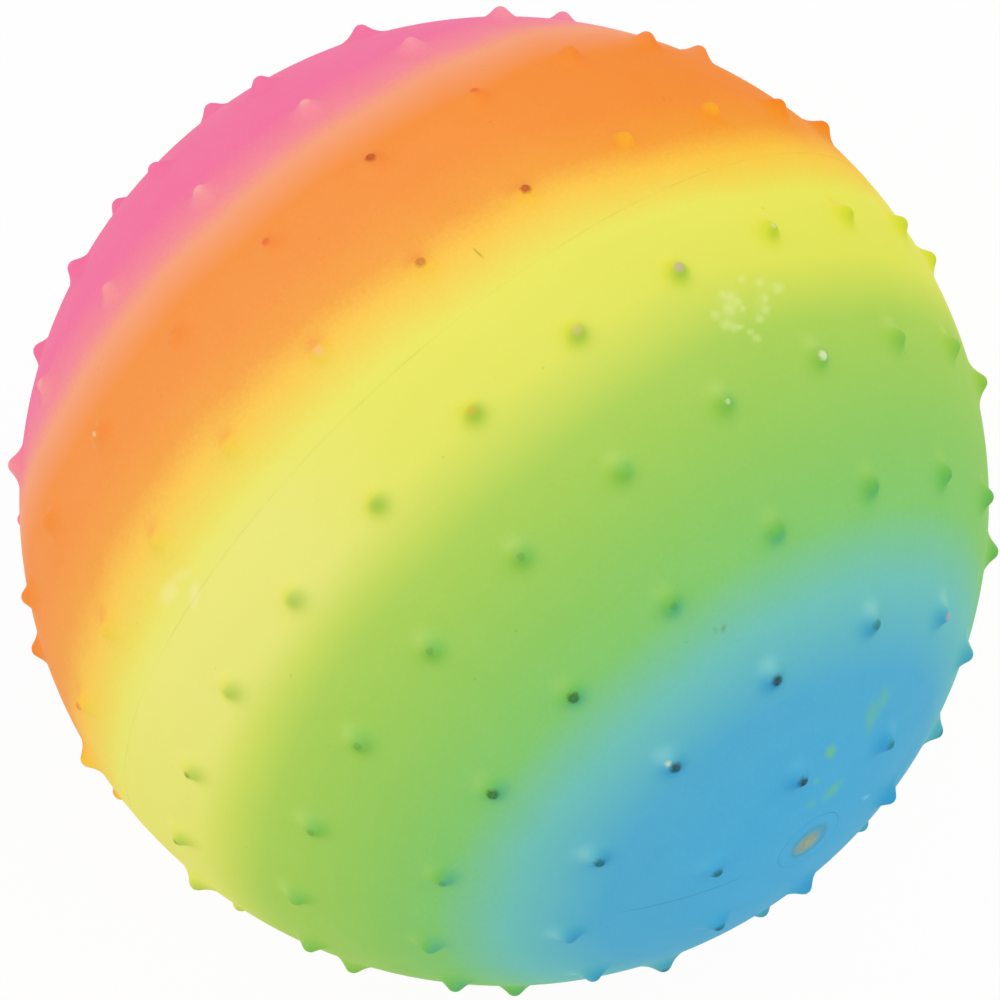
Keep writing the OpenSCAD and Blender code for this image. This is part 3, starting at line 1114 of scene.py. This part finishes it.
def seat_material(scene):
    """The skin's own spray on the seat's rim, with painted shade deeper in the plug's recess."""
    skin, valve = scene.ball_skin_sizes, scene.ball_valve_sizes
    colours, finish = scene.ball_paint, scene.ball_spray
    material, sketch, where = start_material("sprayed_valve_seat")
    colour = spray_colour(sketch, where, finish, colours)
    colour = film_colour(sketch, colour, where, finish)
    height = sketch.measure("LENGTH", where)
    height = sketch.plus(height, sketch.swing(where, TIP_RAG_SIZE, RECESS_SHADE_START))
    # Below the rim the recess takes a darker blue: painted shade in the recess
    shade_below = skin.ball_radius - RECESS_SHADE_DEPTH
    bare = sketch.rise(height, shade_below, skin.ball_radius - RECESS_SHADE_START, 1.0, 0.0)
    colour = sketch.mix(bare, colour, opaque(colours.recess_shade))
    mist_end = valve.head_radius + RIM_MIST
    mist = sketch.rise(from_valve(sketch, where), valve.head_radius, mist_end, RIM_MIST_COVER, 0.0)
    colour = sketch.mix(mist, colour, opaque(colours.plug_mist))
    finish_film(sketch, colour, where, finish)
    return material


def plug_material(scene):
    """Bare soft plastic with a mist of the blue spray that thickens towards its edge."""
    valve, colours, finish = scene.ball_valve_sizes, scene.ball_paint, scene.ball_spray
    material, sketch, where = start_material("bare_valve_plug")
    away = from_valve(sketch, where, PLUG_BARE_ASIDE)
    cloudy = sketch.noise(where, PLUG_CLOUD_SIZE, RICH_DETAIL)
    cloudy = sketch.rise(cloudy, *PLUG_CLOUD_SHARES, *PLUG_CLOUD_LEVELS)
    colour = sketch.scaled(colours.bare_plug, cloudy)
    mist = sketch.rise(away, PLUG_BARE_RADIUS, valve.head_radius, *PLUG_MIST_COVERS)
    head_under = valve.head_top - valve.head_thickness
    face = sketch.rise(sketch.dot(where, VALVE_AXIS), head_under, valve.head_top)
    colour = sketch.mix(sketch.times(mist, face), colour, opaque(colours.plug_mist))
    finish_film(sketch, colour, where, finish)
    return material


def floor_material(stage):
    """A pale floor that shows white to the camera, and keeps the ball's shadow."""
    material = bpy.data.materials.new("pale_floor")
    sketch = NodeSketch(material)
    pale = (stage.floor_white, stage.floor_white, stage.floor_white, 1.0)
    matt = sketch.add("ShaderNodeBsdfDiffuse", {"Color": pale}).outputs["BSDF"]
    white = sketch.add("ShaderNodeEmission", {"Strength": 1.0}).outputs["Emission"]
    share = sketch.times(seen_directly(sketch), stage.floor_glow)
    mixed = sketch.add("ShaderNodeMixShader", {0: share, 1: matt, 2: white}).outputs["Shader"]
    sketch.add("ShaderNodeOutputMaterial", {"Surface": mixed})
    return material


def seen_directly(sketch):
    """One for what the camera sees straight, reflected or through glass, and zero for other light."""
    path = sketch.add("ShaderNodeLightPath", {})
    seen = sketch.math("MAXIMUM", path.outputs["Is Camera Ray"], path.outputs["Is Glossy Ray"])
    return sketch.math("MAXIMUM", seen, path.outputs["Is Transmission Ray"])


def light_sky(scene, stage):
    """An even light from all round, which shows as white."""
    scene.world = scene.world or bpy.data.worlds.new("studio")
    sketch = NodeSketch(scene.world)
    white = (1.0, 1.0, 1.0, 1.0)
    even = sketch.add("ShaderNodeBackground", {"Color": white, "Strength": stage.sky})
    shown = sketch.add("ShaderNodeBackground", {"Color": white, "Strength": 1.0})
    layers = {0: seen_directly(sketch), 1: even.outputs["Background"], 2: shown.outputs["Background"]}
    mixed = sketch.add("ShaderNodeMixShader", layers)
    sketch.add("ShaderNodeOutputWorld", {"Surface": mixed.outputs["Shader"]})


def add_floor(scene, stage):
    """A round floor under the ball's lowest nub."""
    bm = bmesh.new()
    bmesh.ops.create_circle(bm, cap_ends=True, segments=SPIN_STEPS, radius=stage.floor_radius)
    bmesh.ops.translate(bm, verts=bm.verts[:], vec=(0, 0, stage.floor_height))
    mesh = bpy.data.meshes.new("floor")
    bm.to_mesh(mesh)
    bm.free()
    mesh.materials.append(floor_material(stage))
    floor = bpy.data.objects.new("floor", mesh)
    scene.collection.objects.link(floor)


def add_softbox(name, way, stage):
    """A square softbox that faces the ball."""
    light = bpy.data.lights.new(name, "AREA")
    light.energy = stage.softbox_power
    light.size = stage.softbox_side
    lamp = bpy.data.objects.new(name, light)
    lamp.location = way.normalized() * stage.softbox_distance
    lamp.rotation_euler = way.to_track_quat("Z", "Y").to_euler()
    bpy.context.scene.collection.objects.link(lamp)


def add_camera(scene, stage, skin):
    """A long lens at the photograph's angle, framed as the photograph is."""
    right, up, back = photo_axes(stage)
    pixel = skin.ball_radius / PHOTO_RADIUS
    data = bpy.data.cameras.new("photo_camera")
    reach = math.sqrt((stage.camera_distance / skin.ball_radius) ** 2 - 1)
    data.lens = data.sensor_width * PHOTO_RADIUS * reach / PHOTO_SIDE
    camera = bpy.data.objects.new("photo_camera", data)
    aside = right * (PHOTO_MIDDLE - PHOTO_CENTRE.x) + up * (PHOTO_CENTRE.y - PHOTO_MIDDLE)
    camera.location = back * stage.camera_distance + aside * pixel
    camera.rotation_euler = back.to_track_quat("Z", "Y").to_euler()
    scene.collection.objects.link(camera)
    scene.camera = camera


class MakeSkin(bpy.types.Operator):
    """Model the sprayed skin with its nubs"""

    bl_idname = "sensory_ball.make_skin"
    bl_label = "Make Skin"

    def execute(self, context):
        scene = context.scene
        bm = skin_mesh(scene.ball_skin_sizes, scene.ball_valve_sizes, scene.ball_paint)
        add_piece("skin", bm, skin_material(scene), "ball", "ball_skin")
        return {"FINISHED"}


class MakeSeat(bpy.types.Operator):
    """Model the valve seat in the skin"""

    bl_idname = "sensory_ball.make_seat"
    bl_label = "Make Valve Seat"

    def execute(self, context):
        scene = context.scene
        bm = seat_mesh(scene.ball_skin_sizes, scene.ball_valve_sizes)
        add_piece("seat", bm, seat_material(scene), "ball", "valve_seat")
        return {"FINISHED"}


class MakePlug(bpy.types.Operator):
    """Model the plug that closes the valve"""

    bl_idname = "sensory_ball.make_plug"
    bl_label = "Make Valve Plug"

    def execute(self, context):
        scene = context.scene
        bm = plug_mesh(scene.ball_valve_sizes)
        add_piece("plug", bm, plug_material(scene), "plug", "valve_plug")
        return {"FINISHED"}


class MakeStage(bpy.types.Operator):
    """Set up the floor, the lights and the camera"""

    bl_idname = "sensory_ball.make_stage"
    bl_label = "Make Stage"

    def execute(self, context):
        scene = context.scene
        stage = scene.ball_stage
        scene.view_settings.view_transform = "Standard"
        add_floor(scene, stage)
        light_sky(scene, stage)
        right, up, back = photo_axes(stage)
        for name, (aside, above) in SOFTBOX_SHARES.items():
            add_softbox(name, back + right * aside + up * above, stage)
        add_camera(scene, stage, scene.ball_skin_sizes)
        return {"FINISHED"}


class SensoryBallPanel(bpy.types.Panel):
    """Lists the ball's pieces and what can be changed on them"""

    bl_idname = "VIEW3D_PT_sensory_ball"
    bl_label = "Sensory Ball"
    bl_space_type = "VIEW_3D"
    bl_region_type = "UI"
    bl_category = "Sensory Ball"

    def draw(self, context):
        for operator in OPERATORS:
            self.layout.operator(operator.bl_idname)
        for name, group in SCENE_GROUPS.items():
            box = self.layout.box()
            box.label(text=group.__doc__)
            for key in group.__annotations__:
                box.prop(getattr(context.scene, name), key)


SCENE_GROUPS = {
    "ball_skin_sizes": SkinSizes,
    "ball_valve_sizes": ValveSizes,
    "ball_paint": PaintColours,
    "ball_spray": SprayFinish,
    "ball_stage": StageSettings,
}
OPERATORS = (MakeSkin, MakeSeat, MakePlug, MakeStage)


def register():
    """Registers the classes and puts the settings on the scene."""
    for group in SCENE_GROUPS.values():
        bpy.utils.register_class(group)
    for name, group in SCENE_GROUPS.items():
        setattr(bpy.types.Scene, name, PointerProperty(type=group))
    for operator in OPERATORS:
        bpy.utils.register_class(operator)
    bpy.utils.register_class(SensoryBallPanel)


def unregister():
    """Takes away what register has added."""
    bpy.utils.unregister_class(SensoryBallPanel)
    for operator in reversed(OPERATORS):
        bpy.utils.unregister_class(operator)
    for name in SCENE_GROUPS:
        delattr(bpy.types.Scene, name)
    for group in reversed(SCENE_GROUPS.values()):
        bpy.utils.unregister_class(group)


def main():
    """Registers the add-on and makes the ball and its stage."""
    register()
    bpy.ops.sensory_ball.make_skin()
    bpy.ops.sensory_ball.make_seat()
    bpy.ops.sensory_ball.make_plug()
    bpy.ops.sensory_ball.make_stage()


if __name__ == "__main__":
    main()
